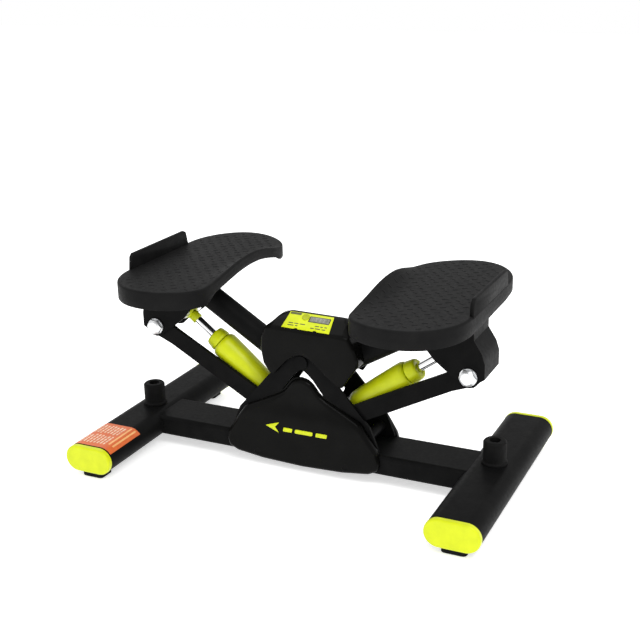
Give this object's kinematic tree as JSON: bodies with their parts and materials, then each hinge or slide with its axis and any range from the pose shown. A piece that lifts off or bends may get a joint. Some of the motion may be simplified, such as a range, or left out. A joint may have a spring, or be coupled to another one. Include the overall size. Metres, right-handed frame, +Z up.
{
  "type": "mini stepper exercise machine",
  "caption": "Low stepping exercise machine: two contoured footplates on linked rocking arms with hydraulic cylinders, a central housing with display, on an H-shaped tube base.",
  "frame": {"origin": "on the floor under the middle of the base", "axes": "X along the main beam from foot to foot, Y across it from front to rear, Z up"},
  "size_m": [0.5018, 0.2958, 0.2489],
  "materials": {
    "powder_coat": "satin",
    "gloss_black": "gloss",
    "tread_black": "matte",
    "lime": "satin",
    "rubber_black": "matte",
    "zinc": "satin",
    "chrome_rod": "polished",
    "sticker_orange": "matte",
    "nylon": "matte",
    "lens": "gloss",
    "board_green": "matte",
    "dark_steel": "satin"
  },
  "bodies": {
    "base": {"left_foot_tube": "powder_coat", "right_foot_tube": "powder_coat", "main_beam": "powder_coat", "front_end_caps": "lime", "rear_end_caps": "lime", "foot_pads": "rubber_black", "bumpers": "rubber_black", "bumper_screws": "dark_steel", "front_pivot_plate": "powder_coat", "rear_pivot_plate": "powder_coat", "plate_spacers": "powder_coat", "front_cover": "gloss_black", "rear_cover": "gloss_black", "cover_screws": "dark_steel", "cover_mark": "lime", "foot_sticker": "sticker_orange", "rocker_axle": "powder_coat", "arm_pivot_bolts": "powder_coat", "pivot_nuts": "dark_steel", "travel_sensor": "board_green"},
    "rocker": {"rocker_yoke": "powder_coat", "hub_bushes": "nylon", "left_upper_tube": "powder_coat", "right_upper_tube": "powder_coat", "tube_end_lugs": "powder_coat", "head_shell_front": "gloss_black", "head_shell_rear": "gloss_black", "head_screws": "dark_steel", "display_label": "lime", "display_lens": "lens", "display_board": "board_green", "button_cell": "zinc", "button_spring": "zinc"},
    "display_button": {"display_button": "lime"},
    "left_lower_arm": {"left_lower_arm": "powder_coat", "left_arm_bushes": "nylon"},
    "left_pedal": {"left_footplate": "tread_black", "left_side_guard": "tread_black", "left_pedal_bracket": "powder_coat", "left_pedal_pins": "zinc", "left_pedal_fasteners": "zinc"},
    "left_cylinder": {"left_cylinder_barrel": "dark_steel", "left_cylinder_shroud": "lime", "left_cylinder_collar": "lime"},
    "left_rod": {"left_ram": "chrome_rod", "left_ram_eye": "lime", "left_eye_pin": "zinc"},
    "right_lower_arm": {"right_lower_arm": "powder_coat", "right_arm_bushes": "nylon"},
    "right_pedal": {"right_footplate": "tread_black", "right_side_guard": "tread_black", "right_pedal_bracket": "powder_coat", "right_pedal_pins": "zinc", "right_pedal_fasteners": "zinc"},
    "right_cylinder": {"right_cylinder_barrel": "dark_steel", "right_cylinder_shroud": "lime", "right_cylinder_collar": "lime"},
    "right_rod": {"right_ram": "chrome_rod", "right_ram_eye": "lime", "right_eye_pin": "zinc"}
  },
  "joints": [
    {"name": "rocker_swing", "type": "hinge", "parent": "base", "child": "rocker", "pos_m": [0, 0, 0.135], "axis": [0, 1, 0], "range_deg": [-24.72, 22.28]},
    {"name": "button_press", "type": "slide", "parent": "rocker", "child": "display_button", "axis": [-0.018, 0.5391, -0.8421], "range_m": [0, 0.001], "stiffness_N_per_m": 300, "springref_m": -0.0005},
    {"name": "left_arm_swing", "type": "hinge", "parent": "base", "child": "left_lower_arm", "pos_m": [-0.036, 0, 0.07], "axis": [0, 1, 0], "range_deg": [-24.73, 22.28]},
    {"name": "left_pedal_level", "type": "hinge", "parent": "left_lower_arm", "child": "left_pedal", "pos_m": [-0.19345, 0, 0.15348], "axis": [0, 1, 0], "range_deg": [-22.28, 24.73]},
    {"name": "left_cylinder_swing", "type": "hinge", "parent": "base", "child": "left_cylinder", "pos_m": [-0.036, 0, 0.07], "axis": [0, 1, 0], "range_deg": [-26.71, 24.07]},
    {"name": "left_rod_slide", "type": "slide", "parent": "left_cylinder", "child": "left_rod", "axis": [-0.7868, 0, 0.6172], "range_m": [-0.01317, 0.01188]},
    {"name": "right_arm_swing", "type": "hinge", "parent": "base", "child": "right_lower_arm", "pos_m": [0.036, 0, 0.07], "axis": [0, 1, 0], "range_deg": [-24.73, 22.28]},
    {"name": "right_pedal_level", "type": "hinge", "parent": "right_lower_arm", "child": "right_pedal", "pos_m": [0.19687, 0, 0.14668], "axis": [0, 1, 0], "range_deg": [-22.28, 24.73]},
    {"name": "right_cylinder_swing", "type": "hinge", "parent": "base", "child": "right_cylinder", "pos_m": [0.036, 0, 0.07], "axis": [0, 1, 0], "range_deg": [-26.71, 24.07]},
    {"name": "right_rod_slide", "type": "slide", "parent": "right_cylinder", "child": "right_rod", "axis": [0.8149, 0, 0.5796], "range_m": [-0.01196, 0.01326]}
  ],
  "couplings": [
    {"joint": "left_arm_swing", "follows": "rocker_swing", "ratio": 1},
    {"joint": "left_pedal_level", "follows": "rocker_swing", "ratio": -1},
    {"joint": "left_cylinder_swing", "follows": "rocker_swing", "ratio": 1.08},
    {"joint": "left_rod_slide", "follows": "rocker_swing", "m_per_rad": 0.0303},
    {"joint": "right_arm_swing", "follows": "rocker_swing", "ratio": 1},
    {"joint": "right_pedal_level", "follows": "rocker_swing", "ratio": -1},
    {"joint": "right_cylinder_swing", "follows": "rocker_swing", "ratio": 1.08},
    {"joint": "right_rod_slide", "follows": "rocker_swing", "m_per_rad": -0.0305}
  ]
}
